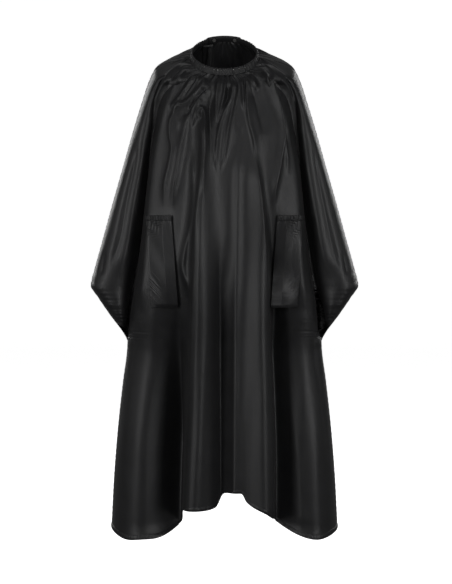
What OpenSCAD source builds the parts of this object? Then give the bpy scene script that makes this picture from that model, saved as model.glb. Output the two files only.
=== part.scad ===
// Barber cape: a sleeved wrap with an elasticated collar that closes on two
// press studs at the back of the neck, elasticated cuffs and two patch pockets.
//
// Frame: the origin is the centre of the collar opening. +Z is up, -Y is the
// wearer's front and +X the wearer's left.
//
// The cloth is one closed surface, cloth(a, d). Angle a runs round the wearer:
// 0 is the centre front, 90 the left side, 180 the centre back and 270 the right
// side. Drop d is the height below the collar's centre, measured at the side.
// Every cloth piece is a patch of that surface.

/* [Collar] */
// Radius of the neck opening
neck_r = 86; // [76:1:96]
// Height of the collar band
collar_h = 15; // [12:1:20]
// Forward tilt of the collar
collar_tilt = 34; // [28:1:38]

/* [Body] */
// Half width at the shoulder point
shoulder_w = 184; // [170:1:200]
// Half width at the tip of the sleeve
wing_w = 360; // [330:5:390]
// Half width under the sleeve
underarm_w = 262; // [250:2:280]
// Half width at the hem
hem_w = 306; // [290:2:340]
// Drop of the sleeve's tip
wing_drop = 618; // [600:2:640]
// Drop of the corner under the sleeve
underarm_drop = 770; // [750:2:800]
// Drop of the hem at the side
hem_drop = 1286; // [1200:2:1400]
// How much higher the hem is at the centre front
front_rise = 92; // [0:2:120]
// How much higher the hem is at the centre back
back_rise = 84; // [0:2:100]
// Thickness of the cloth solids
cloth_t = 1.5; // [1.2:0.1:2]

/* [Pockets] */
// Drop of the pocket's mouth
pocket_drop = 443; // [420:1:470]
// Height of a pocket
pocket_h = 237; // [200:1:250]
// Width of a pocket, seen from the front
pocket_w = 71; // [60:1:80]
// How far a filled pocket stands off the cape
pocket_bulge = 22; // [14:1:26]

/* [Snaps] */
// Radius of a snap's cap
cap_r = 6; // [5:0.1:6.5]
// Radius of the stud, the socket and the rivet's head
snap_r = 5; // [4:0.1:5.5]
// Radius of the stud's knob
knob_r = 1.7; // [1.5:0.1:1.8]

/* [Hidden] */

satin = [0.06, 0.06, 0.065];
casing_black = [0.09, 0.09, 0.095];
elastic_white = [0.82, 0.82, 0.8];
interlining_grey = [0.35, 0.35, 0.36];
steel = [0.75, 0.76, 0.78];

gap = 0.3;            // between cloth pieces that are sewn together
collar_gap = 3;       // between the collar band and the panels gathered into it
pocket_gap = 2.5;     // between the cape and a pocket's sewn edge
hem_h = 12;           // depth of the bottom hem
facing_w = 14;        // width of the folded edges at the back opening
mouth_depth = 42;     // half the opening of a sleeve's mouth, front to back
band_t = 5;           // thickness of the gathered collar band
fold_t = 1;           // wall of the collar band's folded casing
fine = 64;            // $fn of true round parts

// ---- the cloth surface ---------------------------------------------------

function smooth(t) = let (c = max(0, min(1, t))) c * c * (3 - 2 * c);
function power(x, p) = x <= 0 ? 0 : pow(x, p);
function unit(v) = v / norm(v);

// Half width, front depth and back depth of the cape at drop d
function half_w(d) = lookup(d, [
    [0, neck_r + 2.5], [14, shoulder_w - 46], [35, shoulder_w], [68, shoulder_w + 17],
    [wing_drop, wing_w], [underarm_drop, underarm_w], [hem_drop, hem_w]]);
function front_y(d) = lookup(d, [
    [0, (neck_r + 2.5) * cos(collar_tilt)], [35, 112], [68, 122], [230, 142],
    [wing_drop, 160], [underarm_drop, 168], [hem_drop, 205]]);
function back_y(d) = lookup(d, [
    [0, (neck_r + 2.5) * cos(collar_tilt)], [35, 100], [68, 112], [230, 128],
    [wing_drop, 142], [underarm_drop, 150], [hem_drop, 190]]);
// How far the ring at drop d leans forward, and how square its corners are
function lean(d) = lookup(d, [[0, tan(collar_tilt)], [35, 0.35], [100, 0.15], [230, 0]]);
function squareness(d) = lookup(d, [[0, 2], [100, 2.4], [hem_drop, 2.4]]);
// The valley between the body and the sleeve: where it is and how deep
function valley_x(d) = lookup(d, [[60, 172], [230, 194], [wing_drop, 242], [underarm_drop, underarm_w]]);
function valley_y(d) = lookup(d, [[60, 0], [230, 36], [wing_drop, 74], [700, 44], [underarm_drop, 0]]);
valley_w = 30;
// Half the front-to-back opening of the sleeve's mouth at drop d
function mouth_y(d) = let (s = (d - wing_drop) / (underarm_drop - wing_drop))
    s <= 0 || s >= 1 ? 0 : mouth_depth * 2 * sqrt(s * (1 - s));
// Below the sleeve, drops are scaled so that the last one lands on the hem
function hem_at(a) = hem_drop - (cos(a) > 0 ? front_rise : back_rise) * pow(cos(a), 4);
function true_drop(a, d) = d <= underarm_drop ? d
    : underarm_drop + (d - underarm_drop) * (hem_at(a) - underarm_drop) / (hem_drop - underarm_drop);

below_band = collar_h / 2 + collar_gap;

function cloth(a, d) = let (
    p = 2 / squareness(d),
    side = sign(sin(a)),
    front = cos(a) >= 0,
    x = half_w(d) * power(abs(sin(a)), p),
    deep = front ? front_y(d) : back_y(d),
    mouth = mouth_y(d),
    dip = valley_y(d) * exp(-pow((x - valley_x(d)) / valley_w, 2)) * min(1, abs(cos(a)) * 2.5),
    y = mouth + (deep - mouth) * power(abs(cos(a)), p) - dip,
    top = 1 - smooth(d / 35),
    yy = (front ? -y : y) + top * below_band * sin(collar_tilt)
) [side * x, yy, -true_drop(a, d) + lean(d) * yy - top * below_band / cos(collar_tilt)];

// Outward normal, by differences that stay between angles lo and hi
function outward(a, d, lo, hi) = let (
    e = 0.6, g = 1.5,
    da = cloth(min(a + e, hi), d) - cloth(max(a - e, lo), d),
    dd = cloth(a, min(d + g, hem_drop)) - cloth(a, max(d - g, 0))
) unit(cross(dd, da));

// Angle at which the cloth at drop d is x to the wearer's left of the middle
function angle_at(x, d) = asin(pow(min(1, abs(x) / half_w(d)), squareness(d) / 2)) * sign(x);

// ---- solids from grids and sweeps ----------------------------------------

// A closed solid between two grids of points with the same rows and columns
module skin(inner, outer) {
    rows = len(inner);
    cols = len(inner[0]);
    n = rows * cols;
    function id(i, j) = j * cols + i;
    flat = [for (g = [inner, outer]) for (r = g) for (p = r) p];
    faces = concat(
        [for (j = [0:rows - 2]) for (i = [0:cols - 2])
            each [[id(i, j), id(i + 1, j), id(i + 1, j + 1)], [id(i, j), id(i + 1, j + 1), id(i, j + 1)]]],
        [for (j = [0:rows - 2]) for (i = [0:cols - 2])
            each [[n + id(i, j), n + id(i + 1, j + 1), n + id(i + 1, j)],
                  [n + id(i, j), n + id(i, j + 1), n + id(i + 1, j + 1)]]],
        [for (i = [0:cols - 2])
            each [[id(i, 0), n + id(i, 0), n + id(i + 1, 0)], [id(i, 0), n + id(i + 1, 0), id(i + 1, 0)]]],
        [for (i = [0:cols - 2]) let (j = rows - 1)
            each [[id(i, j), n + id(i + 1, j), n + id(i, j)], [id(i, j), id(i + 1, j), n + id(i + 1, j)]]],
        [for (j = [0:rows - 2])
            each [[id(0, j), n + id(0, j + 1), n + id(0, j)], [id(0, j), id(0, j + 1), n + id(0, j + 1)]]],
        [for (j = [0:rows - 2]) let (i = cols - 1)
            each [[id(i, j), n + id(i, j), n + id(i, j + 1)], [id(i, j), n + id(i, j + 1), id(i, j + 1)]]]
    );
    polyhedron(flat, faces, convexity = 10);
}

// The strip between two section lines, carried along frames [origin, axis, axis]
module sweep(frames, outer, inner, closed = false) {
    line = concat(outer, [for (i = [len(inner) - 1:-1:0]) inner[i]]);
    m = len(line);
    k = len(outer);
    n = len(frames);
    points = [for (f = frames) for (p = line) f[0] + p[0] * f[1] + p[1] * f[2]];
    last = closed ? n - 1 : n - 2;
    sides = [for (j = [0:last]) for (i = [0:m - 1]) let (
            a = j * m + i, b = j * m + (i + 1) % m,
            c = ((j + 1) % n) * m + (i + 1) % m, e = ((j + 1) % n) * m + i)
        each [[a, b, c], [a, c, e]]];
    caps = closed ? [] : [for (i = [0:k - 2]) let (o = i, q = i + 1, r = m - 2 - i, s = m - 1 - i)
        each [[o, r, q], [o, s, r],
              [(n - 1) * m + o, (n - 1) * m + q, (n - 1) * m + r],
              [(n - 1) * m + o, (n - 1) * m + r, (n - 1) * m + s]]];
    polyhedron(points, concat(sides, caps), convexity = 10);
}

// A patch of the cape. lo(d) and hi(d) are its edge angles at drop d; back is how
// far its inner face lies inside the surface, and thick is its thickness.
module patch(lo, hi, drops, cols, back = function (a, d) 0, thick = cloth_t) {
    grid = [for (d = drops) [for (i = [0:cols]) lo(d) + (hi(d) - lo(d)) * i / cols]];
    inner = [for (j = [0:len(drops) - 1]) [for (a = grid[j])
        cloth(a, drops[j]) - back(a, drops[j]) * outward(a, drops[j], lo(drops[j]), hi(drops[j]))]];
    outer = [for (j = [0:len(drops) - 1]) [for (a = grid[j])
        cloth(a, drops[j]) + (thick - back(a, drops[j])) * outward(a, drops[j], lo(drops[j]), hi(drops[j]))]];
    skin(inner, outer);
}

// ---- where the pieces end ------------------------------------------------

shoulder_drops = [1, 8, 14, 22, 35, 50, 68, 100, 140, 185, 230, 290, 350, 410, 470, 530, 580, wing_drop - 8];
mouth_drops = [for (i = [0:6]) wing_drop + 8 + (underarm_drop - wing_drop - 16) * i / 6];
skirt_drops = [for (i = [0:8]) underarm_drop + 8 + (hem_drop - hem_h - gap - underarm_drop - 8) * i / 8];
panel_drops = concat(shoulder_drops, mouth_drops, skirt_drops);
hem_drops = [hem_drop - hem_h, hem_drop - hem_h / 2, hem_drop];

// Angle of the panel's edge at the side, clear of the seam or of the cuff
function side_edge(d) = d > wing_drop && d < underarm_drop ? 88.4 : 90 - 0.1;

// The back opening. The left half ends under the right half, which lies over it.
opening_x = -46;
function left_end_x(d) = opening_x - 42 * smooth((d - 20) / 120);
function left_end(d) = 180 - angle_at(left_end_x(d), d);
function right_end(d) = 180 - angle_at(opening_x - 3, d);
function left_fold(d) = 180 - angle_at(left_end_x(d) + facing_w, d);
function right_fold(d) = 180 - angle_at(opening_x - 3 - facing_w, d);
// How far the left half is tucked in below the right one, where they overlap
tuck = 4.5;
tuck_from = -8;          // the tuck starts this far from the middle and is full tuck_run further on
tuck_run = 30;
tuck_drop = 60;          // and it grows from the collar down over this drop
function under(a, d) = let (x = cloth(a, d)[0])
    tuck * smooth((tuck_from - x) / tuck_run) * smooth(d / tuck_drop) * (a > 180 ? 1 : 0);

module front_panel() {
    color(satin) patch(function (d) -side_edge(d), function (d) side_edge(d), panel_drops, 44);
}

module back_panel_left() {
    color(satin) patch(function (d) 180 - side_edge(d), function (d) left_fold(d) - 0.1, panel_drops, 24,
        back = function (a, d) under(a, d));
}

module back_panel_right() {
    color(satin) patch(function (d) right_fold(d) + 0.1, function (d) 180 + side_edge(d), panel_drops, 20);
}

module back_facing_left() {
    color(casing_black) patch(function (d) left_fold(d) + 0.1, function (d) left_end(d), panel_drops, 2,
        back = function (a, d) under(a, d) + 0.2, thick = cloth_t + 0.4);
}

module back_facing_right() {
    color(casing_black) patch(function (d) right_end(d), function (d) right_fold(d) - 0.1, panel_drops, 2,
        back = function (a, d) 0.2, thick = cloth_t + 0.4);
}

module hem_front() {
    color(casing_black) patch(function (d) -89.9, function (d) 89.9, hem_drops, 44,
        back = function (a, d) 0.4, thick = cloth_t + 0.8);
}

module hem_back_left() {
    color(casing_black) patch(function (d) 90.1, function (d) left_end(d), hem_drops, 24,
        back = function (a, d) under(a, d) + 0.4, thick = cloth_t + 0.8);
}

module hem_back_right() {
    color(casing_black) patch(function (d) right_end(d), function (d) 269.9, hem_drops, 20,
        back = function (a, d) 0.4, thick = cloth_t + 0.8);
}

// Seam tapes lie inside the cape, over the joint of the front and the back
tape_t = 1.1;
tape_half = 1.2;         // half the tape's width, as an angle round the cape
tape_back = tape_t + gap + 0.4;
module seam_tape(from, to, steps, side) {
    drops = [for (i = [0:steps]) from + (to - from) * i / steps];
    middle = side > 0 ? 90 : 270;
    color(casing_black) patch(function (d) middle - tape_half, function (d) middle + tape_half, drops, 4,
        back = function (a, d) tape_back, thick = tape_t);
}

module sleeve_seam(side) seam_tape(24, wing_drop - 26, 20, side);
module side_seam(side) seam_tape(underarm_drop + 26, hem_drop - hem_h - 4, 14, side);

// ---- cuffs ---------------------------------------------------------------

cuff_h = 9;
cuff_t = 3.2;
cuff_wall = 0.6;         // the folded cloth round the elastic
cuff_play = 0.8;         // from the cuff's outside in to the elastic
cuff_steps = 44;

// The rim of the sleeve's mouth as frames: origin, outward along the sleeve, outward of the rim
function mouth_point(side, t) = let (d = wing_drop + (underarm_drop - wing_drop) * (1 - cos(t)) / 2)
    [side * (wing_w + (underarm_w - wing_w) * (1 - cos(t)) / 2), -mouth_depth * sin(t), -d];
function mouth_axis(side) = unit([side * (underarm_drop - wing_drop), 0, underarm_w - wing_w]);
function mouth_frames(side) = [for (i = [0:cuff_steps - 1]) let (
        t = 360 * i / cuff_steps,
        along = unit(mouth_point(side, t + 2) - mouth_point(side, t - 2)),
        m = mouth_axis(side))
    [mouth_point(side, t), m, side * cross(m, along)]];

module cuff_casing(side) {
    w = cuff_t / 2;
    color(casing_black) sweep(mouth_frames(side),
        [[-cuff_h, -w], [0, -w], [0, w], [-cuff_h, w]],
        [[-cuff_h, cuff_wall - w], [-cuff_wall, cuff_wall - w],
         [-cuff_wall, w - cuff_wall], [-cuff_h, w - cuff_wall]], closed = true);
}

module cuff_elastic(side) {
    w = cuff_t / 2 - cuff_play;
    color(elastic_white) sweep(mouth_frames(side),
        [[-cuff_h + 1, -w], [-cuff_play - 0.1, -w]], [[-cuff_h + 1, w], [-cuff_play - 0.1, w]], closed = true);
}

// ---- pockets -------------------------------------------------------------

casing_share = 0.06;   // the mouth's casing, as a share of the pocket's height
inner_edge = 144;      // the pocket's inner top corner, from the middle
pocket_slant = 19;     // how much nearer the middle the pocket's foot is

// A point of the front of the cape under the pocket, and its outward normal
function pocket_a(s, t) = angle_at(inner_edge - pocket_slant * t + pocket_w * s, pocket_drop + pocket_h * t);
function pocket_point(side, s, t, off) = let (
    a = pocket_a(s, t), d = pocket_drop + pocket_h * t,
    p = cloth(a, d) + off * outward(a, d, 0, 89))
    [side * p[0], p[1], p[2]];
function pocket_off(s, t) = cloth_t + pocket_gap + pocket_bulge * pow(sin(180 * s), 0.8) * pow(cos(90 * t), 0.5);

module pocket(side) {
    cols = 10;
    rows = 12;
    t0 = casing_share + 0.003;
    cells = [for (j = [0:rows]) [for (i = [0:cols]) let (k = side > 0 ? i : cols - i)
        [k / cols, t0 + (1 - t0) * j / rows]]];
    color(satin) skin(
        [for (r = cells) [for (c = r) pocket_point(side, c[0], c[1], pocket_off(c[0], c[1]))]],
        [for (r = cells) [for (c = r) pocket_point(side, c[0], c[1], pocket_off(c[0], c[1]) + cloth_t)]]);
}

// Frames along the pocket's mouth: origin, outward normal, down the pocket
function pocket_frames(side) = [for (i = [0:14]) let (
        s = 0.02 + 0.96 * i / 14,
        p = pocket_point(side, s, 0, pocket_off(s, 0)),
        q = pocket_point(side, s, 0, pocket_off(s, 0) + 1),
        r = pocket_point(side, s, casing_share, pocket_off(s, casing_share)))
    [p, unit(q - p), unit(r - p)]];

module pocket_casing(side) {
    h = pocket_h * casing_share - 0.4;
    frames = pocket_frames(side);
    ordered = side > 0 ? [for (i = [len(frames) - 1:-1:0]) frames[i]] : frames;
    color(casing_black) sweep(ordered,
        [[0, h], [0, 0], [3, 0], [3, h]], [[0.6, h], [0.6, 0.6], [2.4, 0.6], [2.4, h]]);
}

module pocket_elastic(side) {
    h = pocket_h * casing_share - 2;
    frames = pocket_frames(side);
    ordered = side > 0 ? [for (i = [len(frames) - 1:-1:0]) frames[i]] : frames;
    color(elastic_white) sweep(ordered, [[0.9, 1], [2.1, 1]], [[0.9, h], [2.1, h]]);
}

// ---- collar and closure --------------------------------------------------

// Angles in the collar's own plane, where 90 is the centre back and 0 the left
left_band_end = 119.5;
right_band_end = 122;
closure_from = 58;           // the left end is plain from here, with interlining in place of elastic
snap_angles = [109, 71.5];
tab_tip = 62;
tab_root = 123.2;
tab_r = neck_r + band_t + 4.2;    // inner face of the tab where it lies over the studs
band_r = neck_r + band_t;

module in_collar_plane() rotate([collar_tilt, 0, 0]) children();

// A ring sector of a rectangular section
module sector(r0, r1, z0, z1, from, to) {
    rotate([0, 0, from]) rotate_extrude(angle = to - from, $fn = fine)
        translate([r0, z0]) square([r1 - r0, z1 - z0]);
}

// Places children on a snap's axis, with +Z outwards and z = 0 on the collar's axis
module on_snap_axis(i) in_collar_plane() rotate([0, 90, snap_angles[i]]) children();

// A drill on a snap's axis, from just inside the collar out to the given distance
drill_start = neck_r - 6;
module drill(i, r, reach) {
    on_snap_axis(i) translate([0, 0, drill_start]) cylinder(r = r, h = reach - drill_start, $fn = fine);
}

module collar_casing() {
    from = right_band_end - 360;
    h = collar_h / 2;
    color(casing_black) difference() {
        in_collar_plane() difference() {
            sector(neck_r, band_r, -h, h, from, left_band_end);
            sector(neck_r + fold_t, band_r - fold_t, -h - 1, h - fold_t, from - 0.1, left_band_end + 0.1);
        }
        for (i = [0, 1]) {
            drill(i, snap_r + 0.3, neck_r + fold_t + 0.2);
            drill(i, knob_r, band_r + 1);
        }
    }
}

module collar_elastic() {
    h = collar_h / 2 - fold_t - 0.4;
    color(elastic_white) in_collar_plane()
        sector(neck_r + fold_t + 0.4, band_r - fold_t - 0.4, -h, h, right_band_end - 359, closure_from - 1);
}

module collar_interlining() {
    h = collar_h / 2 - fold_t - 0.2;
    color(interlining_grey) difference() {
        in_collar_plane()
            sector(neck_r + fold_t + 0.2, band_r - fold_t - 0.2, -h, h, closure_from, left_band_end - 0.3);
        for (i = [0, 1]) drill(i, knob_r, band_r + 1);
    }
}

// Outline of the tab in the collar's plane, from radius offset lo to hi off its inner face
function tab_face(t) = lookup(t, [[tab_tip, tab_r], [116.5, tab_r], [tab_root, band_r + 0.5]]);
function tab_outline(lo, hi, from, to) = concat(
    [for (i = [0:28]) let (t = from + (to - from) * i / 28) (tab_face(t) + lo) * [cos(t), sin(t)]],
    [for (i = [28:-1:0]) let (t = from + (to - from) * i / 28) (tab_face(t) + hi) * [cos(t), sin(t)]]);
tab_t = 2.4;
tab_h = 13;

module tab_solid(lo, hi, z0, z1, from, to) {
    in_collar_plane() translate([0, 0, z0]) linear_extrude(z1 - z0) polygon(tab_outline(lo, hi, from, to));
}

module closure_tab() {
    h = tab_h / 2;
    color(satin) difference() {
        tab_solid(0, tab_t, -h, h, tab_tip, tab_root);
        tab_solid(0.7, tab_t - 0.7, -h - 1, h - 0.7, tab_tip + 0.6, tab_root - 1.2);
        for (i = [0, 1]) drill(i, knob_r, tab_r + tab_t + 2);
    }
}

module tab_interlining() {
    h = tab_h / 2;
    color(interlining_grey) difference() {
        tab_solid(0.8, tab_t - 0.8, -h + 0.4, h - 0.9, tab_tip + 0.8, tab_root - 1.4);
        for (i = [0, 1]) drill(i, knob_r, tab_r + tab_t + 2);
    }
}

post_r = knob_r - 0.2;

// The rivet's head lies in the inside of the collar, and its post goes out to the stud
module snap_rivet(i) {
    color(steel) on_snap_axis(i) {
        translate([0, 0, neck_r + 0.1]) cylinder(r = snap_r, h = fold_t - 0.2, $fn = fine);
        translate([0, 0, neck_r + 0.5]) cylinder(r = post_r, h = band_t - 0.45, $fn = fine);
    }
}

// The knob is low, so that the tab's swing clears it
module snap_stud(i) {
    color(steel) on_snap_axis(i) translate([0, 0, band_r + 0.1]) {
        cylinder(r = snap_r, h = 0.9, $fn = fine);
        cylinder(r = knob_r, h = 2.4, $fn = fine);
    }
}

module snap_socket(i) {
    color(steel) on_snap_axis(i) translate([0, 0, band_r + 1.3]) difference() {
        union() {
            cylinder(r = snap_r, h = 1.6, $fn = fine);
            cylinder(r = snap_r - 1.2, h = 2.65, $fn = fine);
        }
        translate([0, 0, -1]) cylinder(r = knob_r + 0.8, h = 5, $fn = fine);
    }
}

module snap_cap(i) {
    face = tab_r + tab_t + 0.1;
    color(steel) on_snap_axis(i) {
        translate([0, 0, tab_r - 0.2]) cylinder(r = post_r, h = tab_t + 0.4, $fn = fine);
        translate([0, 0, face]) cylinder(r = cap_r, h = 0.6, $fn = fine);
        translate([0, 0, face + 0.6]) cylinder(r1 = cap_r, r2 = cap_r - 1.2, h = 0.6, $fn = fine);
    }
}

front_panel();
back_panel_left();
back_panel_right();
collar_casing();
collar_elastic();
collar_interlining();
closure_tab();
tab_interlining();
snap_cap(0);  // snap_cap_1
snap_cap(1);  // snap_cap_2
snap_socket(0);  // snap_socket_1
snap_socket(1);  // snap_socket_2
snap_stud(0);  // snap_stud_1
snap_stud(1);  // snap_stud_2
snap_rivet(0);  // snap_rivet_1
snap_rivet(1);  // snap_rivet_2
cuff_casing(1);  // cuff_casing_left
cuff_casing(-1);  // cuff_casing_right
cuff_elastic(1);  // cuff_elastic_left
cuff_elastic(-1);  // cuff_elastic_right
pocket(1);  // pocket_left
pocket(-1);  // pocket_right
pocket_casing(1);  // pocket_casing_left
pocket_casing(-1);  // pocket_casing_right
pocket_elastic(1);  // pocket_elastic_left
pocket_elastic(-1);  // pocket_elastic_right
sleeve_seam(1);  // sleeve_seam_left
sleeve_seam(-1);  // sleeve_seam_right
side_seam(1);  // side_seam_left
side_seam(-1);  // side_seam_right
hem_front();
hem_back_left();
hem_back_right();
back_facing_left();
back_facing_right();
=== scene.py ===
"""Looks for the barber cape: black satin cloth, gathered edges, snaps, light and camera.

All lengths are metres in the frame of the CAD part: +Z up, -Y the wearer's front, +X the wearer's
left. The cloth is one surface, swept down from the collar, and every panel is a patch of it:
angle 0 is the centre front, 90 the left side, 180 the centre back and 270 or -90 the right side,
and drop is the height below the collar's centre, measured at the side. Folds are ridges and
valleys that follow listed lines over that surface. Angles round the collar itself, for the
band and its closure, start at the wearer's left instead: 90 is the back and 270 the front.
"""
import math

import bmesh
import bpy
import numpy as np
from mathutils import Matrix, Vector


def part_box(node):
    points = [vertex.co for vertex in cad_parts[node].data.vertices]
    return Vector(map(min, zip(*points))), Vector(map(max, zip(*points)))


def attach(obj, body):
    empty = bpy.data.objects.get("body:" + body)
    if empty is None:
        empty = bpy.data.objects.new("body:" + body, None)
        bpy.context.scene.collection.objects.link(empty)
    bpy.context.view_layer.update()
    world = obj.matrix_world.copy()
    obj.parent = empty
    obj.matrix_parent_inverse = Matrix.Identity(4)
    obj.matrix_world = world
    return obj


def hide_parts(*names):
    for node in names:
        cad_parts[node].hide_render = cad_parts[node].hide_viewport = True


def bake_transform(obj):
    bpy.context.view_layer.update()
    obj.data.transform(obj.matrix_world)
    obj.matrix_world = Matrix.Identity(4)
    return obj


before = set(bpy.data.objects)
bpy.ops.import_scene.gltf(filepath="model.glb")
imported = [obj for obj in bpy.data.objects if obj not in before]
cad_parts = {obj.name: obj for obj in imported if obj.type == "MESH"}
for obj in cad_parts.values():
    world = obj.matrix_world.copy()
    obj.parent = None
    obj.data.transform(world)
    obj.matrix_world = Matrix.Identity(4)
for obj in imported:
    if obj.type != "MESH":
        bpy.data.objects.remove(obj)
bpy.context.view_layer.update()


def plain(bounds):
    """Two corners as plain lists of numbers."""
    return [[float(v) for v in corner] for corner in bounds]


# ---- sizes taken from the frame ------------------------------------------

TILT = math.radians(34)
COLLAR_AXIS = np.array([0, -math.sin(TILT), math.cos(TILT)])
NECK_R = 0.086
BAND_T = 0.005
BAND_H = 0.015
COLLAR_GAP = -0.0025     # the cloth's edge is tucked up into the band
WING_DROP = -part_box("cuff_casing_left")[1].z - 0.004
UNDERARM_DROP = -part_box("cuff_casing_left")[0].z - 0.004
HEM_DROP = -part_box("hem_front")[0].z
OPENING_X = float(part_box("back_facing_right")[1].x) + 0.003

FRONT_COLUMNS = 640
BACK_COLUMNS = 440
TURN = 6.283     # a full turn, for waves


# ---- small tools ---------------------------------------------------------

def smooth(t):
    """Rises from 0 to 1 as t does, with soft ends."""
    t = np.clip(t, 0, 1)
    return t * t * (3 - 2 * t)


def curve(points):
    """A smooth function through given (position, value) points, flat beyond the ends."""
    x, y = np.array(points, float).T
    slopes = np.diff(y) / np.diff(x)
    tangents = np.concatenate([[slopes[0]], (slopes[:-1] + slopes[1:]) / 2, [slopes[-1]]])
    for i in range(len(slopes)):
        if slopes[i] == 0:
            tangents[i] = tangents[i + 1] = 0
            continue
        a, b = tangents[i] / slopes[i], tangents[i + 1] / slopes[i]
        size = math.hypot(a, b)
        if size > 3:
            tangents[i], tangents[i + 1] = 3 * a / size * slopes[i], 3 * b / size * slopes[i]

    def value(at):
        at = np.clip(at, x[0], x[-1])
        i = np.clip(np.searchsorted(x, at, side="right") - 1, 0, len(x) - 2)
        width = x[i + 1] - x[i]
        t = (at - x[i]) / width
        return ((2 * t ** 3 - 3 * t ** 2 + 1) * y[i] + (t ** 3 - 2 * t ** 2 + t) * width * tangents[i]
                + (3 * t ** 2 - 2 * t ** 3) * y[i + 1] + (t ** 3 - t ** 2) * width * tangents[i + 1])
    return value


def collar_point(angle, radius, along):
    """A point by angle and radius in the collar's tilted plane, and distance along its axis."""
    x, y = radius * np.cos(angle), radius * np.sin(angle)
    return np.stack([x, math.cos(TILT) * y - math.sin(TILT) * along,
                     math.sin(TILT) * y + math.cos(TILT) * along], -1)


def unit(v):
    """Vectors brought to length 1."""
    return v / np.maximum(np.linalg.norm(v, axis=-1, keepdims=True), 1e-12)


def grid_normals(p, outward):
    """Unit normals of a grid of points, turned to the side that outward points to."""
    n = unit(np.cross(np.gradient(p, axis=1), np.gradient(p, axis=0)))
    return n if (n * outward).sum() > 0 else -n


# ---- the cape's surface --------------------------------------------------

HALF_WIDTH = curve([
    (0, 0.089), (0.004, 0.112), (0.010, 0.134), (0.022, 0.165), (0.034, 0.184), (0.050, 0.194),
    (0.075, 0.205), (0.130, 0.223), (0.194, 0.243), (0.292, 0.271), (0.389, 0.299), (0.486, 0.326),
    (0.583, 0.353),
    (0.607, 0.359), (0.616, 0.359), (0.648, 0.339), (0.700, 0.303), (0.745, 0.271), (0.766, 0.262),
    (0.790, 0.263), (0.875, 0.274), (1.000, 0.288), (1.134, 0.299), (HEM_DROP, 0.307)])
# the body inside the sleeves: half width at the valley between body and sleeve
BODY_HALF = curve([
    (0, 0.089), (0.012, 0.120), (0.034, 0.150), (0.070, 0.171), (0.125, 0.184), (0.190, 0.190),
    (0.245, 0.196), (0.300, 0.201), (0.391, 0.210), (0.497, 0.223), (0.605, 0.241), (0.700, 0.258),
    (0.766, 0.262), (0.790, 0.263), (0.875, 0.274), (1.000, 0.288), (1.134, 0.299), (HEM_DROP, 0.307)])
FRONT_DEPTH = curve([
    (0, 0.0737), (0.035, 0.090), (0.070, 0.102), (0.150, 0.120), (0.300, 0.138), (0.618, 0.150),
    (0.766, 0.152), (HEM_DROP, 0.172)])
BACK_DEPTH = curve([
    (0, 0.0737), (0.035, 0.098), (0.070, 0.110), (0.230, 0.126), (0.618, 0.134), (0.766, 0.138),
    (HEM_DROP, 0.158)])
SLEEVE_DEPTH = curve([
    (0, 0.055), (0.120, 0.062), (0.300, 0.070), (0.500, 0.078), (0.620, 0.080), (0.700, 0.070),
    (0.766, 0.030)])
VALLEY_FLOOR = curve([(0, 0.066), (0.034, 0.068), (0.070, 0.060), (0.120, 0.050), (0.250, 0.042),
                      (0.620, 0.032), (0.766, 0.012), (0.800, 0.0), (HEM_DROP, 0.0)])
FRONT_LEAN = curve([(0, math.tan(TILT)), (0.035, 0.58), (0.070, 0.48), (0.150, 0.28), (0.300, 0.07),
                    (0.420, 0)])
BACK_LEAN = curve([(0, math.tan(TILT)), (0.035, 0.36), (0.100, 0.15), (0.230, 0)])
# how square the body is across its front: it hangs flatter over the pockets
BOXINESS = curve([(0, 0.0), (0.150, 0.1), (0.350, 0.9), (0.620, 1.0), (0.800, 0.2), (HEM_DROP, 0.0)])
MOUTH_HALF = 0.036     # half the depth of a sleeve's mouth at its widest


def mouth_depth(drop):
    """Half the depth of a sleeve's open mouth, from front to back, above 0 only along the cuff."""
    s = (drop - WING_DROP) / (UNDERARM_DROP - WING_DROP)
    inside = (s > 0) & (s < 1)
    return np.where(inside, MOUTH_HALF * 2 * np.sqrt(np.clip(s * (1 - s), 0, None)), 0)


def soft_max(a, b, width):
    """The larger of two values, with a rounded change from one to the other."""
    return 0.5 * (a + b + np.sqrt((a - b) ** 2 + width ** 2)) - 0.5 * width * np.exp(-np.abs(a - b) / width)


def arch(x, half, power):
    """1 in the middle of a span and 0 at its ends, as a rounded box is."""
    t = np.clip(np.abs(x) / half, 0, 1)
    return (1 - t ** power) ** (1 / power)


# Drop of the hem round the front, by place across it, and round the back
FRONT_HEM = curve([
    (-0.309, 1.272), (-0.285, 1.284), (-0.260, 1.290), (-0.224, 1.287), (-0.182, 1.281), (-0.160, 1.267),
    (-0.145, 1.250), (-0.124, 1.216), (-0.105, 1.201), (-0.0695, 1.201), (-0.024, 1.195), (-0.017, 1.180),
    (-0.009, 1.165), (0.010, 1.157), (0.043, 1.157), (0.056, 1.178), (0.0665, 1.188), (0.108, 1.212),
    (0.122, 1.222), (0.153, 1.238), (0.203, 1.274), (0.230, 1.286), (0.249, 1.289), (0.283, 1.284),
    (0.309, 1.275)])
BACK_HEM = curve([
    (-0.309, 1.272), (-0.280, 1.280), (-0.235, 1.276), (-0.175, 1.254), (-0.100, 1.222), (-0.030, 1.202),
    (0.040, 1.200), (0.110, 1.226), (0.180, 1.256), (0.235, 1.276), (0.280, 1.280), (0.309, 1.275)])


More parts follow.
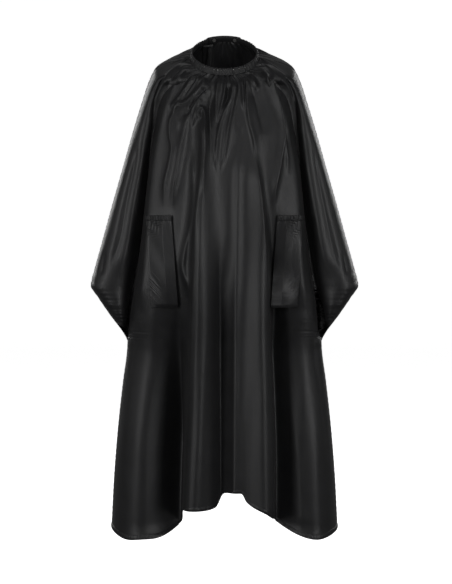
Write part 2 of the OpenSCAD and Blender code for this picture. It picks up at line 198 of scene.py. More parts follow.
def base(angle, drop):
    """Points of the cape without folds. angle is in degrees, and both are grids."""
    a = np.radians(angle)
    front = np.cos(a) >= 0
    side = np.sign(np.sin(a))
    roundness = 2 + 0.4 * smooth(drop / 0.1)
    x = HALF_WIDTH(drop) * np.abs(np.sin(a)) ** (2 / roundness)
    half = HALF_WIDTH(drop)
    plain_shoulder = np.where(front, 1, smooth((drop - 0.020) / 0.360))
    body_half = half - (half - BODY_HALF(drop)) * plain_shoulder
    deep = np.where(front, FRONT_DEPTH(drop), BACK_DEPTH(drop))
    square = roundness + np.where(front, BOXINESS(drop), 0)
    body = deep * np.where(x < body_half, arch(x, body_half, square), 0)
    mouth = mouth_depth(drop)
    middle, reach = (body_half + half) / 2, np.maximum((half - body_half) / 2, 0.004)
    sleeve_deep = SLEEVE_DEPTH(drop) * np.where(front, 1, 0.92)
    inner = np.where(x < middle, arch(x - middle, reach * 1.12, 2.0), arch(x - middle, reach, 2.2))
    edge = np.where(x < middle, 0, mouth)
    sleeve = edge + (np.maximum(sleeve_deep, mouth) - edge) * inner
    # behind, the sleeve rises slowly from the shoulder, so that its head is not puffed
    slow = np.where(front, 0, 0.05 * (1 - smooth((drop - 0.35) / 0.10)))
    fade = smooth((half - body_half - 0.005) / (0.03 + slow))
    floor = VALLEY_FLOOR(drop) * smooth((half - x) / 0.03) * fade
    depth = soft_max(np.maximum(body, floor), sleeve * fade, 0.010 * fade + 1e-6)
    depth = np.where(x >= half * 0.99999, mouth, depth)
    top = 1 - smooth(drop / 0.035)
    y = np.where(front, -depth, depth)
    y = y + top * (BAND_H / 2 + COLLAR_GAP) * math.sin(TILT)
    below = np.clip((drop - UNDERARM_DROP) / (HEM_DROP - UNDERARM_DROP), 0, 1)
    hem = np.where(front, FRONT_HEM(side * x), BACK_HEM(side * x))
    real_drop = np.where(drop > UNDERARM_DROP, UNDERARM_DROP + below * (hem - UNDERARM_DROP), drop)
    lean = np.where(front, FRONT_LEAN(drop), BACK_LEAN(drop))
    z = -real_drop + lean * y - top * (BAND_H / 2 + COLLAR_GAP) / math.cos(TILT)
    return np.stack([side * x, y, z], -1)


# ---- folds ---------------------------------------------------------------
# Each fold is (line, height, left width, right width, ends): the line's (x, z) points as the cape
# is seen from its front or back, the height of a ridge or, below 0, the depth of a valley, how far
# each flank reaches, and how soon the fold fades in at its top and out at its foot.

FRONT_FOLDS = [
    # the tube of cloth left of the middle, its sharp edge and its crown
    (((-0.069, -0.140), (-0.057, -0.213), (-0.062, -0.324), (-0.074, -0.445), (-0.079, -0.564),
      (-0.086, -0.734), (-0.092, -0.870), (-0.100, -1.037), (-0.109, -1.250)), 0.026, 0.010, 0.036,
      (0.08, 0)),
    (((-0.050, -0.240), (-0.054, -0.350), (-0.064, -0.500), (-0.072, -0.734), (-0.080, -0.900),
      (-0.088, -1.060), (-0.096, -1.250)), 0.007, 0.012, 0.016, (0.12, 0)),
    (((-0.052, -0.250), (-0.049, -0.490), (-0.050, -0.700), (-0.060, -0.900), (-0.068, -1.080),
      (-0.078, -1.250)), 0.026, 0.036, 0.030, (0.34, 0)),
    (((-0.014, -0.460), (-0.012, -0.800), (-0.012, -1.000), (-0.014, -1.240)), -0.036, 0.012, 0.028,
      (0.34, 0)),
    # the valley between the left lobe and the tube
    (((-0.120, -0.560), (-0.130, -0.760), (-0.138, -0.960), (-0.146, -1.100), (-0.152, -1.270)),
     -0.108, 0.052, 0.030, (0.50, 0)),
    # the tube right of the middle: thin crest, soft crown and a sharp right edge
    (((0.041, -0.225), (0.037, -0.320), (0.036, -0.480), (0.030, -0.700), (0.028, -1.000), (0.026, -1.220)),
     0.009, 0.012, 0.012, (0.10, 0)),
    (((0.096, -0.420), (0.102, -0.600), (0.104, -0.800), (0.106, -1.000), (0.106, -1.230)),
     0.020, 0.034, 0.030, (0.40, 0)),
    (((0.082, -0.232), (0.086, -0.300), (0.094, -0.362), (0.104, -0.450), (0.114, -0.560), (0.122, -0.700),
      (0.128, -0.850), (0.132, -1.000), (0.134, -1.240)), 0.022, 0.036, 0.008, (0.12, 0)),
    (((0.118, -0.340), (0.130, -0.460), (0.142, -0.600), (0.152, -0.760), (0.160, -0.900), (0.166, -1.060),
      (0.168, -1.270)), -0.086, 0.026, 0.056, (0.50, 0)),
    # lobes at the sides of the skirt
    (((-0.226, -0.780), (-0.232, -0.960), (-0.238, -1.100), (-0.244, -1.310)), 0.014, 0.044, 0.060,
      (0.30, 0)),
    (((0.240, -0.800), (0.244, -0.980), (0.248, -1.120), (0.254, -1.310)), 0.016, 0.060, 0.040, (0.30, 0)),
    (((0.196, -0.860), (0.206, -1.010), (0.214, -1.160), (0.220, -1.300)), 0.006, 0.014, 0.014,
      (0.20, 0.05)),
    # edges of the body beside the sleeves
    (((-0.092, -0.022), (-0.125, -0.066), (-0.150, -0.136), (-0.167, -0.200), (-0.182, -0.280),
      (-0.196, -0.390), (-0.204, -0.500), (-0.214, -0.610), (-0.230, -0.700)), 0.009, 0.012, 0.012,
      (0.05, 0.08)),
    (((0.106, -0.040), (0.135, -0.099), (0.155, -0.157), (0.168, -0.216), (0.182, -0.289), (0.194, -0.390),
      (0.204, -0.500), (0.216, -0.610), (0.232, -0.700)), 0.009, 0.012, 0.012, (0.05, 0.08)),
    # left of the chest: two slanting pleats that meet the body's edge
    (((-0.076, -0.052), (-0.100, -0.084), (-0.126, -0.124), (-0.143, -0.150)), 0.0072, 0.005, 0.006,
      (0.02, 0.02)),
    (((-0.062, -0.050), (-0.084, -0.080), (-0.112, -0.118), (-0.140, -0.160)), 0.009, 0.006, 0.005,
      (0.02, 0.03)),
    (((-0.070, -0.058), (-0.096, -0.094), (-0.122, -0.134)), -0.0072, 0.004, 0.004, (0.02, 0.02)),
    # first swag: from the band down to the pocket's inner corner, with a round shoulder
    (((-0.048, -0.060), (-0.064, -0.090), (-0.092, -0.118), (-0.124, -0.144), (-0.139, -0.176),
      (-0.142, -0.215), (-0.138, -0.250), (-0.146, -0.300), (-0.158, -0.350), (-0.164, -0.420)),
     0.0108, 0.006, 0.014, (0.02, 0.10)),
    (((-0.118, -0.158), (-0.121, -0.205)), 0.009, 0.018, 0.016, (0.05, 0.05)),
    (((-0.042, -0.084), (-0.066, -0.106), (-0.090, -0.140), (-0.101, -0.172)), -0.0125, 0.006, 0.005,
      (0.02, 0.03)),
    (((-0.052, -0.100), (-0.074, -0.122), (-0.094, -0.158), (-0.108, -0.206), (-0.117, -0.256),
      (-0.125, -0.304), (-0.135, -0.362), (-0.142, -0.430)), 0.0108, 0.010, 0.007, (0.03, 0.10)),
    # second swag: a round drop and its long line that bends beside the pocket
    (((-0.046, -0.076), (-0.056, -0.104), (-0.062, -0.122)), 0.009, 0.010, 0.008, (0.02, 0.02)),
    (((-0.082, -0.188), (-0.083, -0.216)), 0.0108, 0.014, 0.012, (0.05, 0.05)),
    (((-0.056, -0.110), (-0.070, -0.134), (-0.080, -0.165), (-0.090, -0.200)), 0.0072, 0.006, 0.006,
      (0.02, 0.03)),
    (((-0.086, -0.240), (-0.083, -0.370), (-0.088, -0.445), (-0.106, -0.525), (-0.111, -0.570),
      (-0.100, -0.613), (-0.090, -0.660)), 0.009, 0.009, 0.009, (0.08, 0.06)),
    # the loop right of it, whose right leg becomes the tube's sharp edge
    (((-0.072, -0.180), (-0.069, -0.152), (-0.061, -0.142), (-0.054, -0.152), (-0.050, -0.190),
      (-0.050, -0.240), (-0.054, -0.300), (-0.056, -0.400)), 0.009, 0.005, 0.005, (0.02, 0.10)),
    (((-0.034, -0.094), (-0.041, -0.148), (-0.037, -0.245), (-0.040, -0.330)), -0.0115, 0.007, 0.012,
      (0.03, 0.18)),
    # two long V folds at the middle
    (((-0.014, -0.058), (-0.022, -0.110), (-0.023, -0.150), (-0.020, -0.186)), 0.0072, 0.004, 0.005,
      (0.02, 0.04)),
    (((0.004, -0.062), (0.000, -0.100), (-0.010, -0.146), (-0.019, -0.186)), 0.0072, 0.005, 0.004,
      (0.02, 0.04)),
    (((0.024, -0.066), (0.018, -0.112), (-0.004, -0.163), (-0.017, -0.216), (-0.022, -0.280),
      (-0.018, -0.330)),
     0.0081, 0.004, 0.006, (0.02, 0.09)),
    (((0.033, -0.070), (0.027, -0.113), (0.010, -0.198), (0.001, -0.259), (-0.013, -0.326)),
     0.0081, 0.006, 0.004, (0.02, 0.09)),
    (((0.012, -0.076), (0.008, -0.110), (-0.006, -0.150)), -0.0072, 0.005, 0.005, (0.02, 0.03)),
    # third swag, right of the middle: a pleat, a round drop and the long crest below it
    (((0.047, -0.057), (0.050, -0.113), (0.052, -0.157)), 0.009, 0.005, 0.005, (0.02, 0.04)),
    (((0.057, -0.057), (0.060, -0.127), (0.068, -0.186), (0.080, -0.232), (0.085, -0.289)),
     0.009, 0.005, 0.010, (0.02, 0.06)),
    (((0.044, -0.170), (0.045, -0.215)), 0.009, 0.012, 0.012, (0.05, 0.05)),
    (((0.052, -0.062), (0.055, -0.100), (0.059, -0.150)), -0.0072, 0.004, 0.004, (0.02, 0.04)),
    (((0.068, -0.080), (0.084, -0.120), (0.098, -0.170), (0.104, -0.220)), -0.0072, 0.010, 0.016,
      (0.03, 0.06)),
    (((0.070, -0.040), (0.078, -0.072), (0.092, -0.098)), 0.0072, 0.005, 0.006, (0.02, 0.02)),
    # right of the chest: the long line from the shoulder to the pocket
    (((0.094, -0.028), (0.117, -0.069), (0.142, -0.134), (0.150, -0.186), (0.152, -0.245), (0.146, -0.304),
      (0.136, -0.362), (0.134, -0.430)), 0.0108, 0.012, 0.006, (0.03, 0.10)),
    (((0.108, -0.050), (0.132, -0.108), (0.148, -0.165), (0.158, -0.235), (0.172, -0.330)),
     0.0072, 0.005, 0.005, (0.03, 0.06)),
    (((0.120, -0.070), (0.143, -0.130), (0.158, -0.200), (0.168, -0.260)), -0.0072, 0.004, 0.005,
      (0.04, 0.06)),
    # right shoulder
    (((0.104, -0.022), (0.128, -0.040), (0.152, -0.056), (0.166, -0.072)), 0.0070, 0.012, 0.012,
      (0.03, 0.02)),
    (((0.120, -0.058), (0.142, -0.076), (0.158, -0.079)), -0.0050, 0.009, 0.008, (0.02, 0.02)),
    (((0.152, -0.090), (0.166, -0.118)), 0.0045, 0.012, 0.014, (0.03, 0.03)),
    # left shoulder
    (((-0.100, -0.020), (-0.140, -0.044), (-0.168, -0.076)), 0.0072, 0.008, 0.010, (0.03, 0.03)),
    (((-0.104, -0.036), (-0.140, -0.062), (-0.158, -0.092)), -0.0054, 0.005, 0.006, (0.03, 0.03)),
    # sleeves: inner ridge, a soft valley and an outer ridge
    (((-0.196, -0.130), (-0.216, -0.227), (-0.230, -0.308), (-0.246, -0.389), (-0.262, -0.497),
      (-0.284, -0.605)), 0.005, 0.014, 0.012, (0.06, 0.08)),
    (((-0.232, -0.210), (-0.247, -0.308), (-0.264, -0.389), (-0.284, -0.497), (-0.310, -0.572)),
     -0.006, 0.009, 0.012, (0.08, 0.05)),
    (((0.205, -0.157), (0.216, -0.227), (0.228, -0.320), (0.244, -0.400), (0.262, -0.497), (0.284, -0.605)),
     0.005, 0.012, 0.014, (0.06, 0.08)),
    (((0.236, -0.215), (0.252, -0.318), (0.272, -0.420), (0.292, -0.510), (0.312, -0.580)),
     -0.006, 0.012, 0.009, (0.08, 0.05)),
    (((-0.322, -0.520), (-0.330, -0.560), (-0.334, -0.596)), -0.004, 0.005, 0.006, (0.03, 0.02)),
    (((0.320, -0.520), (0.328, -0.560), (0.334, -0.596)), -0.004, 0.006, 0.005, (0.03, 0.02)),
]

BACK_FOLDS = [
    (((-0.190, -0.200), (-0.205, -0.450), (-0.222, -0.700)), 0.010, 0.012, 0.020, (0.08, 0.10)),
    (((0.190, -0.200), (0.205, -0.450), (0.222, -0.700)), 0.010, 0.020, 0.012, (0.08, 0.10)),
    (((-0.060, -0.010), (-0.100, -0.200), (-0.118, -0.500), (-0.128, -0.850), (-0.140, -1.290)),
     0.020, 0.024, 0.034, (0.12, 0)),
    (((-0.150, -0.320), (-0.168, -0.600), (-0.182, -0.900), (-0.194, -1.300)), -0.026, 0.026, 0.022,
      (0.24, 0)),
    (((-0.236, -0.840), (-0.242, -1.000), (-0.250, -1.310)), 0.016, 0.034, 0.040, (0.20, 0)),
    (((0.030, -0.010), (0.020, -0.180), (0.012, -0.420), (0.010, -0.800), (0.006, -1.270)),
     -0.020, 0.024, 0.020, (0.16, 0)),
    (((0.060, 0.000), (0.072, -0.160), (0.080, -0.420), (0.088, -0.800), (0.092, -1.280)),
     0.024, 0.024, 0.040, (0.14, 0)),
    (((0.128, -0.240), (0.142, -0.480), (0.156, -0.800), (0.170, -1.300)), -0.024, 0.024, 0.026, (0.20, 0)),
    (((0.236, -0.840), (0.244, -1.000), (0.252, -1.310)), 0.016, 0.040, 0.034, (0.20, 0)),
    (((-0.222, -0.180), (-0.250, -0.380), (-0.290, -0.560)), -0.010, 0.010, 0.010, (0.08, 0.05)),
    (((0.222, -0.180), (0.250, -0.380), (0.290, -0.560)), -0.010, 0.010, 0.010, (0.08, 0.05)),
    (((-0.118, -0.060), (-0.140, -0.150), (-0.156, -0.280)), -0.008, 0.010, 0.010, (0.04, 0.08)),
    (((0.110, -0.050), (0.132, -0.150), (0.150, -0.280)), -0.008, 0.010, 0.010, (0.04, 0.08)),
]

SAMPLES_A_FOLD = 48
CREST = 0.22     # radius of a fold's crest, as a share of its narrower flank


def fold_height(x, z, line, height, left, right, ends):
    """Height of one fold at the points (x, z), measured across its line."""
    reach = 5.0 * max(left, right)
    points = np.array(line, float)
    place = np.concatenate([[0], np.cumsum(np.hypot(*np.diff(points, axis=0).T))])
    at = np.linspace(0, place[-1], SAMPLES_A_FOLD)
    path = np.stack([curve(list(zip(place, points[:, k])))(at) for k in (0, 1)], -1)
    out = np.zeros_like(x)
    low, high = path.min(0) - reach, path.max(0) + reach
    near = (x > low[0]) & (x < high[0]) & (z > low[1]) & (z < high[1])
    px, pz = x[near], z[near]
    start, step = path[:-1], np.diff(path, axis=0)
    length = np.hypot(step[:, 0], step[:, 1])
    best = np.full(px.shape, 1e9)
    across, along = np.zeros_like(best), np.zeros_like(best)
    for k in range(len(step)):
        dx, dz = px - start[k, 0], pz - start[k, 1]
        t = np.clip((dx * step[k, 0] + dz * step[k, 1]) / length[k] ** 2, 0, 1)
        ox, oz = dx - t * step[k, 0], dz - t * step[k, 1]
        gap = np.hypot(ox, oz)
        closer = gap < best
        best = np.where(closer, gap, best)
        # above 0 is to the right of a line that runs down, the +X side
        side = np.where(step[k, 0] * oz - step[k, 1] * ox < 0, -1, 1)
        across = np.where(closer, gap * side, across)
        along = np.where(closer, at[k] + t * length[k], along)
    crest = CREST * min(left, right)
    away = np.sqrt(across ** 2 + crest ** 2) - crest
    shape = np.exp(-(away / np.where(across < 0, left, right)) ** 1.25)
    fade = np.ones_like(along)
    if ends[0]:
        fade = fade * smooth(along / ends[0])
    if ends[1]:
        fade = fade * smooth((place[-1] - along) / ends[1])
    out[near] = height * shape * fade
    return out


def from_collar(p):
    """Distance of points from the collar band's lower edge."""
    along = p @ COLLAR_AXIS
    radius = np.linalg.norm(p - along[..., None] * COLLAR_AXIS, axis=-1)
    return np.hypot(radius - NECK_R - 0.003, along + BAND_H / 2)


def gathers(angle, distance, seed):
    """Pinched pleats that spread from the collar, finer ones fading sooner."""
    rng = np.random.default_rng(seed)
    around = np.radians(angle)
    total = np.zeros_like(distance)
    share = 0.40 + 0.60 * np.abs(np.cos(around))
    nearness = 0.50 + 0.50 * np.abs(np.cos(around))
    for count, height, reach in ((27, 0.0030, 0.090), (43, 0.0042, 0.046), (71, 0.0024, 0.024)):
        phase = rng.uniform(0, TURN, 3)
        wander = 0.35 * np.sin(around * 5 + phase[0]) + 0.25 * np.sin(around * 11 + phase[1])
        turn = around * count + 2.2 * wander + phase[2]
        pinch = 1.6 * (1 - np.abs(np.sin(turn / 2))) ** 1.4 - 0.6
        uneven = 0.65 + 0.35 * np.sin(around * 7 + phase[1])
        total += height * share * uneven * pinch * np.exp(-(distance / reach / nearness) ** 1.3)
    return total


def wrinkles(x, z, seed):
    """Faint long waves and small creases, so that no stretch of cloth is perfectly even."""
    rng = np.random.default_rng(seed)
    total = np.zeros_like(x)
    for length_x, length_z, height in ((0.140, 1.10, 0.0024), (0.075, 0.80, 0.0008), (0.040, 0.50, 0.00022)):
        for _ in range(3):
            phase = rng.uniform(0, TURN, 2)
            slant = rng.uniform(-0.08, 0.08)
            total += height / 1.7 * np.sin((x + slant * z) / length_x * TURN + phase[0]
                                           + 0.8 * np.sin(z / length_z * TURN + phase[1]))
    return total


def cuff_puckers(x, drop):
    """Short pleats that run in from the elastic at a sleeve's mouth."""
    inside = np.clip(HALF_WIDTH(drop) - np.abs(x), 0, None)
    run = (drop - WING_DROP) / (UNDERARM_DROP - WING_DROP)
    on = smooth((run - 0.02) / 0.20) * smooth((1.0 - run) / 0.12)
    wave = np.sin(run * TURN * 9 + 3.0 * np.sin(run * 9)) * (0.5 + 0.5 * np.sin(run * 17 + 1))
    low = smooth((run - 0.35) / 0.30)
    wave = wave + (0.4 + 0.7 * low) * np.sin(run * TURN * 17 + 2.0 * np.sin(run * 14))
    return 0.0014 * wave * on * smooth(inside / 0.008) * np.exp(-(inside / 0.036) ** 1.4)


EYE = np.array([0.004, -4.75, -0.400])     # the camera's place


def seen(p, front):
    """Where points appear from the eye, drawn on the upright plane through the collar's centre."""
    depth = np.where(front, p[..., 1], -p[..., 1])
    scale = -EYE[1] / (depth - EYE[1])
    return p[..., 0] * scale, EYE[2] + (p[..., 2] - EYE[2]) * scale


def is_front(angle):
    """Whether a grid lies on the cape's front."""
    return np.cos(np.radians(angle)).mean() > 0


def surface(angle, drop):
    """The cape with its folds, on a grid. Returns points and outward normals."""
    p = base(angle, drop)
    front = is_front(angle)
    outward = np.stack([p[..., 0], np.full_like(drop, -0.1 if front else 0.1), np.zeros_like(drop)], -1)
    n = grid_normals(p, outward)
    x, z = seen(p, front)
    height = np.zeros_like(x)
    for fold in (FRONT_FOLDS if front else BACK_FOLDS):
        height += fold_height(x, z, *fold)
    height += wrinkles(x, z, 3 if front else 4) * smooth(drop / 0.1)
    height *= smooth((HALF_WIDTH(drop) - np.abs(p[..., 0])) / 0.016)
    height += gathers(angle, from_collar(p), 5) + cuff_puckers(p[..., 0], drop)
    height *= 0.3 + 0.7 * smooth(drop / 0.006)
    p = p + n * height[..., None]
    return p, grid_normals(p, outward)


def angle_at(x, drop, front):
    """The angle in degrees where the cape has a given x, on its front or its back."""
    roundness = 2 + 0.4 * smooth(drop / 0.1)
    a = np.degrees(np.arcsin(np.clip((np.abs(x) / HALF_WIDTH(drop)), 0, 1) ** (roundness / 2))) * np.sign(x)
    return a if front else 180 - a


def drops(top, bottom, count):
    """Evenly spaced rows from top to bottom."""
    t = np.linspace(0, 1, count)
    return top + (bottom - top) * t


# ---- meshes --------------------------------------------------------------

def grid_mesh(name, p, material, closed_across=False, closed_down=False, body="root"):
    """A piece from a grid of points, with a Weave map in metres along its rows and columns."""
    rows, columns = p.shape[:2]
    r = np.arange(rows if closed_down else rows - 1)
    c = np.arange(columns if closed_across else columns - 1)
    r, c = np.meshgrid(r, c, indexing="ij")
    r2, c2 = (r + 1) % rows, (c + 1) % columns
    faces = np.stack([r * columns + c, r * columns + c2, r2 * columns + c2, r2 * columns + c], -1)
    faces = faces.reshape(-1, 4)
    mesh = bpy.data.meshes.new(name)
    mesh.from_pydata(p.reshape(-1, 3).tolist(), [], faces.tolist())
    across = np.linalg.norm(np.roll(p, -1, 1) - p, axis=-1).mean(0)
    down = np.linalg.norm(np.roll(p, -1, 0) - p, axis=-1).mean(1)
    u = np.concatenate([[0], np.cumsum(across)])
    v = np.concatenate([[0], np.cumsum(down)])
    corner_r = np.stack([r, r, r + 1, r + 1], -1).reshape(-1)
    corner_c = np.stack([c, c + 1, c + 1, c], -1).reshape(-1)
    uv = mesh.uv_layers.new(name="Weave")
    uv.data.foreach_set("uv", np.stack([u[corner_c], v[corner_r]], -1).astype(np.float32).reshape(-1))
    if closed_down:
        weld(mesh)
    mesh.materials.append(material)
    mesh.shade_smooth()
    mesh.update()
    o = bpy.data.objects.new(name, mesh)
    bpy.context.scene.collection.objects.link(o)
    if body:
        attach(o, body)
    return o


def weld(mesh):
    """Joins points that lie on each other, such as the two layers at a strip's ends."""
    work = bmesh.new()
    work.from_mesh(mesh)
    bmesh.ops.remove_doubles(work, verts=work.verts[:], dist=1e-7)
    work.to_mesh(mesh)
    work.free()


# ---- materials -----------------------------------------------------------

class Nodes:
    """Short names for building one node material."""

    def __init__(self, name):
        self.material = bpy.data.materials.new(name)
        self.material.use_nodes = True
        self.tree = self.material.node_tree
        self.shader = self.tree.nodes["Principled BSDF"]

    def add(self, kind, **values):
        node = self.tree.nodes.new(kind)
        for key, value in values.items():
            setattr(node, key, value)
        return node

    def link(self, source, target):
        self.tree.links.new(source, target)

    def set(self, **values):
        for key, value in values.items():
            self.shader.inputs[key.replace("_", " ")].default_value = value

    def weave_place(self, stretch=(1, 1, 1)):
        """Cloth coordinates in metres, from the piece's own Weave map, times a stretch."""
        uv = self.add("ShaderNodeUVMap", uv_map="Weave")
        scale = self.add("ShaderNodeMapping")
        scale.inputs["Scale"].default_value = stretch
        self.link(uv.outputs["UV"], scale.inputs["Vector"])
        return scale.outputs["Vector"]

    def place(self, stretch=(1, 1, 1)):
        """Object coordinates in metres, times a stretch."""
        where = self.add("ShaderNodeTexCoord")
        scale = self.add("ShaderNodeMapping")
        scale.inputs["Scale"].default_value = stretch
        self.link(where.outputs["Object"], scale.inputs["Vector"])
        return scale.outputs["Vector"]

    def noise(self, place, scale, detail=2.0, roughness=0.5):
        node = self.add("ShaderNodeTexNoise")
        node.inputs["Scale"].default_value = scale
        node.inputs["Detail"].default_value = detail
        node.inputs["Roughness"].default_value = roughness
        self.link(place, node.inputs["Vector"])
        return node.outputs["Fac"]

    def wave(self, place, scale, direction="X", distortion=0.0):
        node = self.add("ShaderNodeTexWave", bands_direction=direction)
        node.inputs["Scale"].default_value = scale
        node.inputs["Distortion"].default_value = distortion
        self.link(place, node.inputs["Vector"])
        return node.outputs["Fac"]

    def rough(self, value, low, high):
        """Makes the roughness run from low to high as a value runs from 0 to 1."""
        node = self.add("ShaderNodeMapRange")
        node.inputs["To Min"].default_value = low
        node.inputs["To Max"].default_value = high
        self.link(value, node.inputs["Value"])
        self.link(node.outputs["Result"], self.shader.inputs["Roughness"])

    def colour(self, value, stops):
        """Colours the surface by a value: stops are (value, colour)."""
        node = self.add("ShaderNodeValToRGB")
        ramp = node.color_ramp
        while len(ramp.elements) < len(stops):
            ramp.elements.new(0.5)
        for element, (at, colour) in zip(ramp.elements, stops):
            element.position = at
            element.color = (*colour, 1)
        self.link(value, node.inputs["Fac"])
        self.link(node.outputs["Color"], self.shader.inputs["Base Color"])

    def bump(self, heights):
        """Adds up bumps: (height socket, distance in metres, strength)."""
        normal = None
        for height, distance, strength in heights:
            node = self.add("ShaderNodeBump")
            node.inputs["Strength"].default_value = strength
            node.inputs["Distance"].default_value = distance
            self.link(height, node.inputs["Height"])
            if normal:
                self.link(normal, node.inputs["Normal"])
            normal = node.outputs["Normal"]
        self.link(normal, self.shader.inputs["Normal"])


WAVE_A_METRE = 0.3183     # a Wave texture at scale 1 repeats every 0.314 units


def satin_material(name, dark, light, rough):
    """Black satin: long floats across a fine warp, a soft sheen and uneven dye."""
    m = Nodes(name)
    place = m.weave_place()
    floats = m.wave(m.weave_place(), 2500 * WAVE_A_METRE, "X", 0.6)
    picks = m.wave(m.weave_place(), 1600 * WAVE_A_METRE, "DIAGONAL", 0.5)
    slubs = m.noise(m.weave_place((900, 18, 1)), 1.0, 2.0)
    cloud = m.noise(place, 22, 3.0, 0.6)
    m.colour(cloud, [(0.25, dark), (0.8, light)])
    m.rough(cloud, rough - 0.04, rough + 0.05)
    m.set(Specular_IOR_Level=0.40, Sheen_Weight=0.04, Sheen_Roughness=0.45, Anisotropic=0.25)
    small = m.noise(m.place((1, 1, 0.5)), 120, 3.0, 0.55)
    m.bump([(small, 0.0010, 0.20), (slubs, 0.00008, 0.5), (floats, 0.00006, 0.35),
            (picks, 0.00004, 0.35)])
    return m.material


def casing_material(name, dark, light, pleats_a_metre):
    """Satin drawn up over elastic: fine ribs across the band, with painted shade in the valleys between them
    and a painted highlight on their crests.
    """
    m = Nodes(name)
    rib = m.wave(m.weave_place(), pleats_a_metre * WAVE_A_METRE, "X", 1.5)
    cloud = m.noise(m.weave_place(), 60, 3.0, 0.6)
    creases = m.noise(m.weave_place((900, 90, 1)), 1.0, 2.0)
    # painted shade and highlight: the rib valleys are coloured darker and the rib crests lighter, following
    # the same wave as the bump
    m.colour(rib, [(0.1, dark), (0.9, light)])
    m.rough(cloud, 0.45, 0.57)
    m.set(Specular_IOR_Level=0.35, Sheen_Weight=0.04, Sheen_Roughness=0.45)
    m.bump([(creases, 0.0004, 0.45), (rib, 0.0004, 0.5)])
    return m.material


def folded_material(name, dark, light, rough):
    """Turned and pressed satin edge: the same cloth, flatter, with a line of give along it."""
    m = Nodes(name)
    cloud = m.noise(m.weave_place(), 30, 3.0, 0.6)
    drag = m.noise(m.weave_place((220, 40, 1)), 1.0, 2.0)
    floats = m.wave(m.weave_place(), 2500 * WAVE_A_METRE, "X", 0.6)
    m.colour(cloud, [(0.25, dark), (0.8, light)])
    m.rough(cloud, rough - 0.03, rough + 0.05)
    m.set(Specular_IOR_Level=0.40, Sheen_Weight=0.04, Sheen_Roughness=0.45)
    m.bump([(drag, 0.0005, 0.35), (floats, 0.00006, 0.3)])
    return m.material


def elastic_material():
    """Woven white elastic: lengthwise ribs crossed by fine picks, slightly yellowed."""
    m = Nodes("elastic")
    rib = m.wave(m.weave_place(), 900 * WAVE_A_METRE, "Y")
    picks = m.wave(m.weave_place(), 1500 * WAVE_A_METRE, "X")
    cloud = m.noise(m.weave_place(), 45, 2.0)
    m.colour(cloud, [(0.3, (0.62, 0.61, 0.57)), (0.75, (0.74, 0.73, 0.70))])
    m.rough(cloud, 0.75, 0.88)
    m.bump([(rib, 0.0003, 0.5), (picks, 0.0001, 0.4)])
    return m.material


def interlining_material():
    """Grey non-woven interlining: matted fibres with pressed dots of glue."""
    m = Nodes("interlining")
    fibre = m.noise(m.weave_place(), 900, 4.0, 0.7)
    dots = m.wave(m.weave_place(), 600 * WAVE_A_METRE, "DIAGONAL")
    m.colour(fibre, [(0.3, (0.08, 0.08, 0.085)), (0.75, (0.16, 0.16, 0.165))])
    m.rough(fibre, 0.80, 0.95)
    m.bump([(fibre, 0.0002, 0.5), (dots, 0.0001, 0.3)])
    return m.material


def thread_material():
    """Black polyester thread with its twist showing."""
    m = Nodes("thread")
    twist = m.wave(m.weave_place(), 1800 * WAVE_A_METRE, "DIAGONAL")
    cloud = m.noise(m.weave_place(), 300, 2.0)
    m.colour(cloud, [(0.2, (0.012, 0.012, 0.013)), (0.9, (0.035, 0.035, 0.038))])
    m.rough(cloud, 0.42, 0.55)
    m.bump([(twist, 0.0002, 0.6)])
    return m.material


def metal_material():
    """Nickel-plated brass snaps: bright, with rubbed spots and fine turning marks."""
    m = Nodes("snap_metal")
    worn = m.noise(m.place(), 900, 4.0, 0.6)
    turned = m.wave(m.place(), 1400 * WAVE_A_METRE, "Z", 3.0)
    m.colour(worn, [(0.3, (0.70, 0.69, 0.67)), (0.7, (0.88, 0.87, 0.85))])
    m.rough(worn, 0.26, 0.46)
    m.set(Metallic=1.0)
    m.bump([(turned, 0.00004, 0.25), (worn, 0.00006, 0.3)])
    return m.material


SATIN = satin_material("satin", (0.0055, 0.0055, 0.006), (0.0095, 0.0095, 0.0105), 0.44)
SATIN_POCKET = satin_material("satin_pocket", (0.006, 0.006, 0.0065), (0.0105, 0.0105, 0.0115), 0.43)
CASING = casing_material("gathered_casing", (0.004, 0.004, 0.0045), (0.011, 0.011, 0.012), 420)
FOLDED = folded_material("folded_edge", (0.006, 0.006, 0.0065), (0.010, 0.010, 0.011), 0.42)
TAPE = folded_material("seam_tape", (0.005, 0.005, 0.0055), (0.009, 0.009, 0.0095), 0.50)
ELASTIC = elastic_material()
INTERLINING = interlining_material()
THREAD = thread_material()
METAL = metal_material()


# ---- the big panels ------------------------------------------------------

FINE_DROP, FINE_ROWS = 0.10, 90     # rows are closer together under the collar
ROWS = 520
OVERLAP = 0.042     # how far the left back half runs on under the right one
OVERLAP_GAP = 0.0045     # how far it lies beneath it
FACING_WIDTH = 0.014


def panel_drops():
    upper = drops(0.0, FINE_DROP, FINE_ROWS)
    return np.concatenate([upper[:-1], drops(FINE_DROP, HEM_DROP, ROWS - FINE_ROWS)])


def front_cloth():
    angle, drop = np.meshgrid(np.linspace(-90, 90, FRONT_COLUMNS), panel_drops())
    p, _ = surface(angle, drop)
    return grid_mesh("front_cloth", p, SATIN)


def opening_edge(left, drop):
    """Where a back half ends across the back: below the collar the left one runs on under the right."""
    if left:
        return OPENING_X - OVERLAP * smooth((drop - 0.020) / 0.120)
    return np.full_like(drop, OPENING_X)


def back_grid(left):
    """Angles and drops of one back half: columns run from its side seam to its opening edge."""
    drop = panel_drops()
    ends = angle_at(opening_edge(left, drop), drop, False)
    start = 90.0 if left else 270.0
    t = np.linspace(0, 1, BACK_COLUMNS)
    angle = start + (ends[:, None] - start) * t[None]
    return angle, np.repeat(drop[:, None], BACK_COLUMNS, 1)


def under_overlap(x, drop):
    """How far the left back half is set in, where the right one covers it."""
    return OVERLAP_GAP * smooth((OPENING_X + 0.020 - x) / 0.020) * smooth((drop - 0.004) / 0.02)


